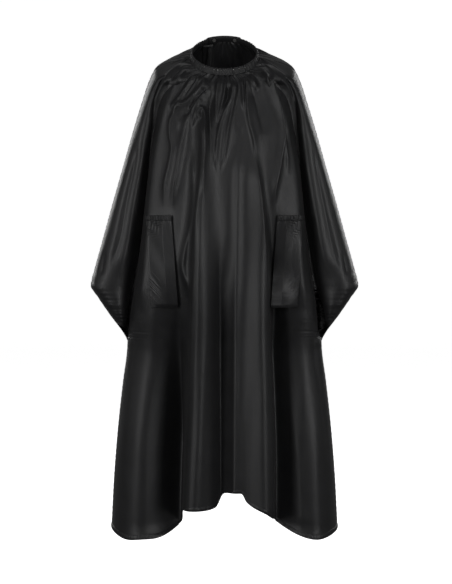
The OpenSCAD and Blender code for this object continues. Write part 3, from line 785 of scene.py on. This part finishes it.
def back_cloth(left):
    angle, drop = back_grid(left)
    p, n = surface(angle, drop)
    if left:
        p = p - n * under_overlap(p[..., 0], drop)[..., None]
    return grid_mesh("back_cloth_left" if left else "back_cloth_right", p, SATIN)


# ---- edges sewn along the panels -----------------------------------------

def layered(p, n, out, back):
    """A closed strip round a grid of points: its outer face stands out by out, its inner by back."""
    out = np.broadcast_to(out, p.shape[:2])
    middle = (out[-1] - back)[:, None] / 2
    down = unit(p[-1] - p[-2]) * (out[-1] + back)[:, None] * 0.6
    foot = p[-1] + n[-1] * middle + down
    up = unit(p[0] - p[1]) * (out[0] + back)[:, None] * 0.4
    head = p[0] + n[0] * (out[0] - back)[:, None] / 2 + up
    return np.concatenate([head[None], p + n * out[..., None], foot[None], (p - n * back)[::-1]], 0)


def capped(ring):
    """Closes both ends of a layered strip, where its two layers meet."""
    mirror = ring[-np.arange(len(ring))]
    ends = (ring + mirror) / 2
    return np.concatenate([ends[:, :1], ring, ends[:, -1:]], 1)


def hem_strip(name, angle_row, shift=0.0):
    """The turned bottom edge of a panel, a little puffed between its fold and its stitching.

    shift sets it in, as the panel is. Returns the strip, and its points and normals on the cloth.
    """
    rows = drops(HEM_DROP - 0.012, HEM_DROP + 0.0005, 7)
    angle, drop = np.meshgrid(angle_row, rows)
    p, n = surface(angle, drop)
    p = p - n * shift
    across = np.linspace(0, 1, 7)[:, None]
    puff = 0.0007 + 0.0007 * np.sin(math.pi * across)
    drag = 0.0003 * np.sin(np.arange(p.shape[1]) * 0.9)[None] * np.sin(math.pi * across)
    return grid_mesh(name, capped(layered(p, n, puff + drag, 0.0011)), FOLDED,
                     closed_down=True), p, n


def edge_rows(side, drop_row, distances, front):
    """Points and normals at given distances along the cloth from the cape's outermost edge."""
    count = 90
    sweep = np.linspace(90, 52, count) if front else np.linspace(90, 128, count)
    angle, drop = np.meshgrid(sweep if side > 0 else 360 - sweep, drop_row, indexing="ij")
    if front and side < 0:
        angle = angle - 360
    p, n = surface(angle, drop)
    travelled = np.concatenate([np.zeros((1, len(drop_row))),
                                np.cumsum(np.linalg.norm(np.diff(p, axis=0), axis=-1), 0)])
    at = np.zeros((len(distances), len(drop_row), 3))
    normals = np.zeros_like(at)
    for j in range(len(drop_row)):
        for k in range(3):
            at[:, j, k] = np.interp(distances, travelled[:, j], p[:, j, k])
            normals[:, j, k] = np.interp(distances, travelled[:, j], n[:, j, k])
    return at, unit(normals)


def cuff_loop(side, distances, steps):
    """The band round a sleeve's mouth: down its front edge and back up its back edge."""
    run = 0.5 - 0.5 * np.cos(np.linspace(0, math.pi, steps))
    drop = WING_DROP + (UNDERARM_DROP - WING_DROP) * (0.004 + 0.992 * run)
    fp, fn = edge_rows(side, drop, distances, True)
    bp, bn = edge_rows(side, drop, distances, False)
    return np.concatenate([fp, bp[:, ::-1]], 1), np.concatenate([fn, bn[:, ::-1]], 1)


CUFF_WIDTH = 0.0105


def cuff(side):
    """One sleeve's gathered band and the elastic inside it."""
    name = "left" if side > 0 else "right"
    rows = np.linspace(0, CUFF_WIDTH, 9)
    p, n = cuff_loop(side, rows, 170)
    place = np.linspace(0, TURN, p.shape[1])
    wave = np.sin(place * 23 + 1.2 * np.sin(place * 5)) * (0.7 + 0.3 * np.sin(place * 3))
    swell = np.sin(math.pi * np.clip(rows / CUFF_WIDTH, 0, 1))[:, None]
    out = 0.0007 + 0.0006 * swell * (1 + 0.6 * wave[None])
    edge = p[:1] + unit(p[:1] - p[1:2]) * (0.0003 * wave[None, :, None])
    p = np.concatenate([edge, p[1:]], 0)
    band = grid_mesh("cuff_band_" + name, layered(p, n, out, 0.0015), CASING, closed_across=True,
                     closed_down=True)
    inner = np.linspace(0.003, 0.0085, 4)
    q, m = cuff_loop(side, inner, 90)
    elastic = grid_mesh("cuff_elastic_strip_" + name, layered(q, m, 0.0004, 0.0004), ELASTIC,
                        closed_across=True, closed_down=True)
    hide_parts("cuff_casing_" + name)
    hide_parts("cuff_elastic_" + name)
    return [band, elastic]


def seam(name, node, side, top, bottom):
    """A felled seam down the outermost edge, with its two flat lips."""
    drop = np.linspace(top, bottom, 150)
    distances = np.linspace(0, 0.0045, 5)
    fp, fn = edge_rows(side, drop, distances, True)
    bp, bn = edge_rows(side, drop, distances, False)
    p = np.concatenate([fp[::-1], bp[1:]], 0)
    n = np.concatenate([fn[::-1], bn[1:]], 0)
    drag = 0.00025 * np.sin(np.arange(len(drop)) * 1.3)[None]
    o = grid_mesh(name, capped(layered(p, n, 0.0005 + drag, 0.0005)), TAPE, closed_down=True)
    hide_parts(node)
    return o


def facing(left):
    """The folded edge of one back half, turned to the inside along the opening."""
    drop = drops(0.006, HEM_DROP, 260)
    across = np.linspace(0, FACING_WIDTH if left else -FACING_WIDTH, 7)
    x = opening_edge(left, drop)[None] + across[:, None]
    depth = np.broadcast_to(drop, x.shape)
    p, n = surface(angle_at(x, depth, False), depth)
    if left:
        p = p - n * under_overlap(p[..., 0], depth)[..., None]
    swell = 0.0005 + 0.0005 * np.sin(math.pi * np.linspace(0, 1, 7))[:, None]
    name = "left" if left else "right"
    o = grid_mesh("opening_fold_" + name, capped(layered(p, n, swell, 0.0016)), FOLDED, closed_down=True)
    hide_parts("back_facing_" + name)
    return o


# ---- stitching -----------------------------------------------------------

def stitches(name, path, normal, length=0.0030, pause=0.0012, thick=0.00035, body="root"):
    """A row of thread stitches along a path of points, lying on a surface with given normals."""
    step = np.linalg.norm(np.diff(path, axis=0), axis=-1)
    along = np.concatenate([[0], np.cumsum(step)])
    starts = np.arange(pause, along[-1] - length, length + pause)
    # places along a stitch, and its thickness there as a share: its ends are thinner
    places, shares = np.array([(0.0, 0.45), (0.2, 1.0), (0.8, 1.0), (1.0, 0.45)]).T
    at = starts[:, None] + length * places[None]
    centre = np.stack([np.interp(at, along, path[:, k]) for k in range(3)], -1)
    up = unit(np.stack([np.interp(at, along, normal[:, k]) for k in range(3)], -1))
    run = unit(centre[:, -1:] - centre[:, :1]) + 0 * centre
    side = unit(np.cross(run, up))
    size = thick * shares
    around = np.radians([0, 60, 120, 180, 240, 300])
    points = []
    for a in around:
        offset = side * math.cos(a) * size[None, :, None] + up * math.sin(a) * size[None, :, None] * 0.8
        points.append(centre + up * thick * 0.3 + offset)
    p = np.stack(points, 2)
    count, rings, sides = p.shape[:3]
    mesh = bpy.data.meshes.new(name)
    faces = []
    for i in range(count):
        first = i * rings * sides
        for r in range(rings - 1):
            for c in range(sides):
                d = (c + 1) % sides
                faces.append((first + r * sides + c, first + r * sides + d,
                              first + (r + 1) * sides + d, first + (r + 1) * sides + c))
        faces.append(tuple(first + c for c in reversed(range(sides))))
        faces.append(tuple(first + (rings - 1) * sides + c for c in range(sides)))
    mesh.from_pydata(p.reshape(-1, 3).tolist(), [], faces)
    uv = mesh.uv_layers.new(name="Weave")
    corner = np.zeros(len(mesh.loops), np.int32)
    mesh.loops.foreach_get("vertex_index", corner)
    u = (corner // sides) * 0.001
    v = (corner % sides) * 0.0004
    uv.data.foreach_set("uv", np.stack([u, v], -1).astype(np.float32).reshape(-1))
    mesh.materials.append(THREAD)
    mesh.shade_smooth()
    o = bpy.data.objects.new(name, mesh)
    bpy.context.scene.collection.objects.link(o)
    if body:
        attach(o, body)
    return o


# ---- collar and closure --------------------------------------------------

# angles in degrees round the collar: the band runs from its right end once round to its left end
BAND_END_LEFT = 119.5
BAND_END_RIGHT = 119.8
SNAP_ANGLES = (431.5, 469.0)     # of the rivets, counted on along the band
PLAIN_FROM = 58.0     # the closure's end of the band is not gathered
TAB_TIP = 62.0
TAB_ROOT = 124.6
TAB_R = 0.0964     # over the studs
TAB_T = 0.0024
TAB_H = 0.013
STITCH_LINE = 0.0046     # height of the band's two rows of stitches above and below its middle
# the dimple round a rivet: its depth, the radius of its flat middle and the width of its slope
DIMPLE_DEPTH, DIMPLE_R, DIMPLE_EDGE = 0.0014, 0.0046, 0.0018


def band_profile():
    """Rounded section of the gathered band: distance from its middle, and height along the axis."""
    a = np.linspace(0, 2 * math.pi, 34, endpoint=False)
    c, s = np.cos(a), np.sin(a)
    r = np.sign(c) * np.abs(c) ** 0.55 * BAND_T / 2
    h = np.sign(s) * np.abs(s) ** 0.55 * BAND_H / 2
    return r, h


def collar_gather(angle):
    """Uneven fine pleats round the band, none where the closure's end is plain."""
    a = np.radians(angle)
    plain = smooth((angle - PLAIN_FROM - 360 + 5) / 5)
    wave = np.sin(a * 64 + 1.6 * np.sin(a * 5.0) + 1.1 * np.sin(a * 9.0 + 2))
    second = np.sin(a * 97 + 1.3 * np.sin(a * 7.0 + 1))
    uneven = 0.7 + 0.3 * np.sin(a * 13.0)
    return (wave * uneven + 0.4 * second) * (1 - plain)


def band_lean(turn, height):
    """How far the band moves out at a height: at the front its foot stands out and its top leans in."""
    return smooth((0.35 - np.sin(turn)) / 1.1) * (0.0012 - 0.0050 * height / (BAND_H / 2))


def collar_band():
    """The gathered band, with its pleats, its stitched lines and a dimple at each rivet."""
    angle = np.linspace(BAND_END_RIGHT, BAND_END_LEFT + 360, 1500)
    r, h = band_profile()
    gather = collar_gather(angle)
    stitched = np.exp(-((np.abs(h) - STITCH_LINE) / 0.0007) ** 2)
    outward = np.where(r > 0, 1, -0.6)
    radius = NECK_R + BAND_T / 2 + r - 0.0005 * stitched * np.sign(r)
    puff = outward * (0.00075 * (1 - 0.6 * stitched))
    radius = radius[:, None] + puff[:, None] * gather[None]
    lip = np.sign(h) * 0.0007 * smooth((np.abs(h) - 0.005) / 0.0025)
    height = h[:, None] + lip[:, None] * gather[None]
    radius = radius + band_lean(np.radians(angle)[None], h[:, None])
    for snap in SNAP_ANGLES:
        # the cloth is pressed in round each rivet, so that its head shows
        away = np.hypot(np.radians(angle - snap)[None] * NECK_R, h[:, None])
        pressed = 1 - smooth((away - DIMPLE_R) / DIMPLE_EDGE)
        radius = radius + np.where(r < 0, DIMPLE_DEPTH, 0)[:, None] * pressed
    ends = smooth((angle - angle[0]) / 0.6) * smooth((angle[-1] - angle) / 0.6)
    middle = NECK_R + BAND_T / 2
    radius = middle + (radius - middle) * (0.25 + 0.75 * ends)[None]
    a = np.radians(np.broadcast_to(angle, radius.shape))
    p = collar_point(a, radius, height)
    o = grid_mesh("collar_band", p, CASING, closed_down=True)
    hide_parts("collar_casing")
    return o


def collar_stitches():
    """Two rows of stitches round the outside of the band."""
    made = []
    angle = np.linspace(BAND_END_RIGHT + 1, BAND_END_LEFT + 359, 1400)
    a = np.radians(angle)
    normal = collar_point(a, np.ones_like(a), 0 * a)
    for name, height in (("collar_stitch_upper", STITCH_LINE), ("collar_stitch_lower", -STITCH_LINE)):
        radius = NECK_R + BAND_T - 0.0004 + 0.0003 * collar_gather(angle) + band_lean(a, height)
        path = collar_point(a, radius, np.full_like(a, height))
        made.append(stitches(name, path, normal, 0.0026, 0.0010, 0.0003))
    return made


def ring_strip(name, start, end, radius, thick, height, material, node, body="root", tip=0.0):
    """A flat strip that follows the collar, with softened edges.

    tip is the length over which its start narrows to a rounded end, if it has one.
    """
    sides = 20
    angle = np.linspace(start, end, max(40, int(abs(end - start) * 3)))
    r = radius(angle) if callable(radius) else np.full_like(angle, radius)
    a = np.radians(angle)
    around = np.linspace(0, 2 * math.pi, sides, endpoint=False)
    c, s = np.cos(around), np.sin(around)
    pr = np.sign(c) * np.abs(c) ** 0.7 * thick / 2
    ph = np.sign(s) * np.abs(s) ** 0.35 * height / 2
    share = np.ones_like(angle)
    if tip:
        along = (angle - start) * math.pi / 180 * 0.096     # metres along the tab
        t = np.clip(along / tip, 0, 1)
        share = np.sqrt(np.clip(1 - (1 - t) ** 2.6, 0.0004, 1))
    reach = r[None] + pr[:, None] * np.minimum(share * 3, 1)[None]
    p = collar_point(np.broadcast_to(a, (sides, len(a))), reach, ph[:, None] * share[None])
    o = grid_mesh(name, p, material, closed_down=True, body=body)
    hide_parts(node)
    return o


def tab_radius(angle):
    """The tab leaves the band's end and rises over the studs."""
    return NECK_R + BAND_T + 0.0006 + (TAB_R - NECK_R - BAND_T - 0.0006) * smooth((TAB_ROOT - angle) / 8)


def closure():
    """The tab with its stitching and interlining."""
    tab = ring_strip("closure_strap", TAB_TIP, TAB_ROOT, tab_radius, TAB_T, TAB_H, FOLDED,
                     "closure_tab", None, tip=0.006)
    lining = ring_strip("strap_interlining", TAB_TIP + 2, TAB_ROOT - 3, tab_radius, 0.0006, 0.010,
                        INTERLINING, "tab_interlining", None)
    angle = np.linspace(TAB_TIP + 1.2, TAB_ROOT - 0.5, 400)
    a = np.radians(angle)
    rows = []
    for name, height in (("strap_stitch_upper", 0.0047), ("strap_stitch_lower", -0.0047)):
        normal = collar_point(a, np.ones_like(a), 0 * a)
        path = collar_point(a, tab_radius(angle) + TAB_T / 2 * 0.96, np.full_like(a, height))
        rows.append(stitches(name, path, normal, 0.0026, 0.0010, 0.0003, body=None))
    for piece in [tab, lining] + rows:
        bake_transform(piece)
    return tab, lining, rows


# ---- pockets -------------------------------------------------------------

POCKET_TOP, POCKET_FOOT = 0.435, 0.671
POCKET_FOLD = 0.38       # where the face turns from the front to the side, as a share of its width


def cloth_front(side, x, z):
    """How far forward the front cloth reaches at each (x, z) of a grid, ridges included."""
    angle, drop = np.meshgrid(side * np.linspace(8, 90, 480), -z[:, 0])
    cloth, _ = surface(angle, drop)
    reach = np.empty_like(x)
    for row in range(len(x)):
        near = np.abs(cloth[row, :, 0][None] - side * x[row][:, None]) < 0.003
        reach[row] = np.where(near, cloth[row, :, 1][None], 1.0).min(1)
    return reach


def pocket_grid(side, columns, rows, top=0.0, foot=1.0):
    """A patch pocket's face: columns from its inner edge outwards, rows from its mouth down."""
    u, v = np.meshgrid(np.linspace(0, 1, columns), np.linspace(top, foot, rows))
    z = -(POCKET_TOP + (POCKET_FOOT - POCKET_TOP) * v)
    # from mouth to foot the pocket runs a little towards the middle
    inner = 0.139 - 0.017 * v
    outer = 0.207 - 0.013 * v
    x = inner + (outer - inner) * u
    reach = smooth_rows(cloth_front(side, x, z))
    near_y, far_y = reach[:, :1], reach[:, -1:]
    turned = np.clip((u - POCKET_FOLD) / (1 - POCKET_FOLD), 0, 1)
    y = near_y + (far_y - near_y) * soft_max(turned, 0 * turned, 0.12)
    # its inner part stands off the cloth, more so towards the foot
    stand = (0.003 + 0.005 * smooth(v / 0.8)) * smooth((1.02 - v) / 0.06)
    y = y - stand * (1 - turned) - 0.002
    y = np.minimum(y, reach - 0.0032)
    return np.stack([side * x, y, z], -1), u, v


def smooth_rows(values):
    """Averages neighbouring rows, so that a pocket doesn't copy each fold beneath it."""
    reach = min(8, len(values) // 3)
    pad = np.pad(values, ((reach, reach), (0, 0)), mode="edge")
    return sum(pad[k:k + len(values)] for k in range(2 * reach + 1)) / (2 * reach + 1)


def pocket_creases(u, v):
    """Puckers that fan down from the gathered mouth, and drag lines along the outer seam."""
    down = np.clip(v, 0, None)
    fan = u + 0.16 * v * (u - 0.4)
    total = 0.0007 * np.sin(fan * TURN * 9 + 0.6) * np.exp(-(down / 0.05) ** 1.2)
    total += 0.0005 * np.sin(fan * TURN * 5.3 + 1.9) * np.exp(-(down / 0.10) ** 1.4)
    low = np.exp(-((v - 0.76) / 0.13) ** 2) * smooth((u - 0.48) / 0.35)
    total += 0.00042 * np.sin(TURN * (v * 24 - (1 - u) * 8 + 0.6 * np.sin(v * 31 + u * 9))) * low
    high = np.exp(-((v - 0.09) / 0.10) ** 2) * smooth((u - 0.30) / 0.35)
    total += 0.00060 * np.sin(TURN * (v * 22 + (1 - u) * 5 + 0.5 * np.sin(v * 40 + u * 7))) * high
    total += 0.0004 * np.sin((u * 1.5 + v * 2.2) * TURN) * smooth(v / 0.3)
    return total


def pocket_outward(side, u):
    """The side that a pocket's face looks to, at each point of a grid."""
    return np.stack([0 * u + side * 0.3, 0 * u - 1, 0 * u], -1)


def pocket(side):
    """One patch pocket: its face, and the gathered band, elastic and stitches that go with it."""
    name = "left" if side > 0 else "right"
    p, u, v = pocket_grid(side, 90, 180)
    n = grid_normals(p, pocket_outward(side, u))
    p = p + n * pocket_creases(u, v)[..., None]
    n = grid_normals(p, n)
    face = grid_mesh("pocket_face_" + name, capped(layered(p, n, 0.0004, 0.0004)), SATIN_POCKET,
                     closed_down=True)
    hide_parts("pocket_" + name)
    q, cu, cv = pocket_grid(side, 120, 11, -0.022, 0.036)
    m = grid_normals(q, pocket_outward(side, cu))
    t = (cv - cv.min()) / (cv.max() - cv.min())
    wave = np.sin(cu * TURN * 11 + 1.5 * np.sin(cu * 20)) * (0.6 + 0.4 * np.sin(cu * 13))
    puff = 0.0009 + 0.0007 * np.sin(math.pi * t) * (1 + 0.6 * wave) + 0.0001 * wave
    q = q + np.stack([0 * cu, 0 * cu, 0.0009 * wave * np.exp(-(t / 0.25) ** 2)], -1)
    q = q + m * (pocket_creases(cu, np.clip(cv, 0, None)))[..., None]
    casing = grid_mesh("pocket_band_" + name, capped(layered(q, m, puff, 0.0012)), CASING, closed_down=True)
    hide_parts("pocket_casing_" + name)
    e, k = q[3:9], m[3:9]
    elastic = grid_mesh("pocket_elastic_strip_" + name, capped(layered(e, k, 0.0004, 0.0004)), ELASTIC,
                        closed_down=True)
    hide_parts("pocket_elastic_" + name)
    path, out = [np.concatenate([g[4:-2, 3], g[-3, 3:-3], g[4:-2, -4][::-1]]) for g in (p, n)]
    edge = stitches("pocket_stitch_" + name, path, out, 0.0028, 0.0012, 0.0003)
    return face, [casing, elastic, edge]


# ---- light, floor and camera ---------------------------------------------

def floor_material():
    """Pale studio paper with a barely uneven surface, which gives off an even light."""
    m = Nodes("studio_paper")
    mottle = m.noise(m.place(), 3, 4.0, 0.6)
    m.colour(mottle, [(0.2, (0.90, 0.90, 0.90)), (0.8, (0.94, 0.94, 0.94))])
    m.rough(mottle, 0.88, 0.95)
    m.set(Emission_Color=(1, 1, 1, 1), Emission_Strength=0.90)
    return m.material


def floor_and_sweep():
    """A round pale floor that curves up into a backdrop on every side. Only the camera sees it."""
    level, radius, bend, top = -1.62, 13.0, 3.0, 13.0
    profile = [(0.001, level), (4.0, level), (radius - bend, level)]
    for k in range(1, 13):
        a = math.radians(90 * k / 12)
        profile.append((radius - bend + bend * math.sin(a), level + bend - bend * math.cos(a)))
    profile += [(radius, top - bend), (radius * 0.7, top), (0.001, top + 1.0)]
    turn = np.linspace(0, 2 * math.pi, 64, endpoint=False)
    p = np.array([[(r * math.cos(t), r * math.sin(t), z) for t in turn] for r, z in profile])
    o = grid_mesh("floor", p, floor_material(), closed_across=True, body=None)
    o.visible_glossy = False
    o.visible_diffuse = False
    o.visible_shadow = False


def area_light(name, place, aim, size, power):
    light = bpy.data.lights.new(name, "AREA")
    light.shape = "RECTANGLE"
    light.size, light.size_y = size
    light.energy = power
    o = bpy.data.objects.new(name, light)
    o.location = place
    o.rotation_euler = (Vector(aim) - Vector(place)).to_track_quat("-Z", "Y").to_euler()
    bpy.context.scene.collection.objects.link(o)


def studio_light():
    """Soft lights all round: the strongest are the pair in front and the pair behind."""
    world = bpy.data.worlds.new("studio")
    world.use_nodes = True
    world.node_tree.nodes["Background"].inputs["Color"].default_value = (1, 1, 1, 1)
    world.node_tree.nodes["Background"].inputs["Strength"].default_value = 0.09
    bpy.context.scene.world = world
    area_light("soft_left", (-3.0, -3.4, 0.2), (0, 0, -0.60), (1.4, 2.8), 63)
    area_light("soft_right", (3.0, -3.4, 0.2), (0, 0, -0.60), (1.4, 2.8), 63)
    area_light("soft_front", (0, -5.6, 1.2), (0, 0, -0.60), (1.6, 1.2), 10)
    area_light("soft_above", (0, -3.0, 3.4), (0, 0, -0.10), (2.0, 1.2), 27)
    area_light("side_left", (-4.2, -0.4, 0.4), (0, 0, -0.60), (1.4, 2.6), 8)
    area_light("side_right", (4.2, -0.4, 0.4), (0, 0, -0.60), (1.4, 2.6), 8)
    area_light("back_left", (-2.6, 3.8, 0.8), (0, 0, -0.60), (1.4, 2.6), 52)
    area_light("back_right", (2.6, 3.8, 0.8), (0, 0, -0.60), (1.4, 2.6), 52)
    area_light("back_above", (0, 3.0, 3.4), (0, 0, -0.30), (2.0, 1.2), 6)


AIM_Z = -0.637


def camera():
    lens = bpy.data.cameras.new("camera")
    lens.sensor_width = 36
    lens.lens = 108.4
    o = bpy.data.objects.new("camera", lens)
    o.location = EYE
    aim = Vector((EYE[0], 0, AIM_Z))
    o.rotation_euler = (aim - Vector(EYE)).to_track_quat("-Z", "Y").to_euler()
    bpy.context.scene.collection.objects.link(o)
    bpy.context.scene.camera = o


# ---- everything ----------------------------------------------------------

def paint_snaps():
    """The snap parts keep their CAD shapes and get the metal finish."""
    for name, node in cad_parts.items():
        if name.startswith("snap_"):
            node.data.materials.clear()
            node.data.materials.append(METAL)


def hems(with_front, with_left, with_right):
    """The bottom hem in three lengths, each added to the pieces that go with its panel."""
    front, p, n = hem_strip("hem_fold_front", np.linspace(-90, 90, FRONT_COLUMNS))
    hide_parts("hem_front")
    with_front += [front, stitches("hem_stitch_front", p[0], n[0])]
    for left, group in ((True, with_left), (False, with_right)):
        name = "left" if left else "right"
        angle, _ = back_grid(left)
        hem, p, n = hem_strip("hem_fold_back_" + name, angle[-1], OVERLAP_GAP if left else 0.0)
        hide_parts("hem_back_" + name)
        group += [hem, stitches("hem_stitch_back_" + name, p[0], n[0])]


def build():
    """Makes every piece, and the camera, light and floor."""
    camera()
    studio_light()
    floor_and_sweep()
    bpy.context.scene.view_settings.view_transform = "Standard"
    paint_snaps()
    front = front_cloth()
    left, right = back_cloth(True), back_cloth(False)
    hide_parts("front_panel")
    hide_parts("back_panel_left")
    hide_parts("back_panel_right")
    band = collar_band()
    with_front, with_left, with_right = [band] + collar_stitches(), [], []
    elastic = ring_strip("collar_elastic_strip", BAND_END_RIGHT + 2, PLAIN_FROM + 358, NECK_R + BAND_T / 2,
                         0.0010, 0.0085, ELASTIC, "collar_elastic")
    lining = ring_strip("collar_end_interlining", PLAIN_FROM + 1, BAND_END_LEFT - 1, NECK_R + BAND_T / 2,
                        0.0010, 0.0120, INTERLINING, "collar_interlining")
    with_front += [elastic, lining]
    hems(with_front, with_left, with_right)
    for side, group in ((1, with_left), (-1, with_right)):
        name = "left" if side > 0 else "right"
        group += cuff(side)
        group.append(seam("sleeve_seam_fell_" + name, "sleeve_seam_" + name, side, 0.010, WING_DROP - 0.004))
        group.append(seam("side_seam_fell_" + name, "side_seam_" + name, side, UNDERARM_DROP + 0.010,
                          HEM_DROP - 0.012))
        group.append(facing(side > 0))
        face, trims = pocket(side)
    strap, strap_lining, rows = closure()


build()
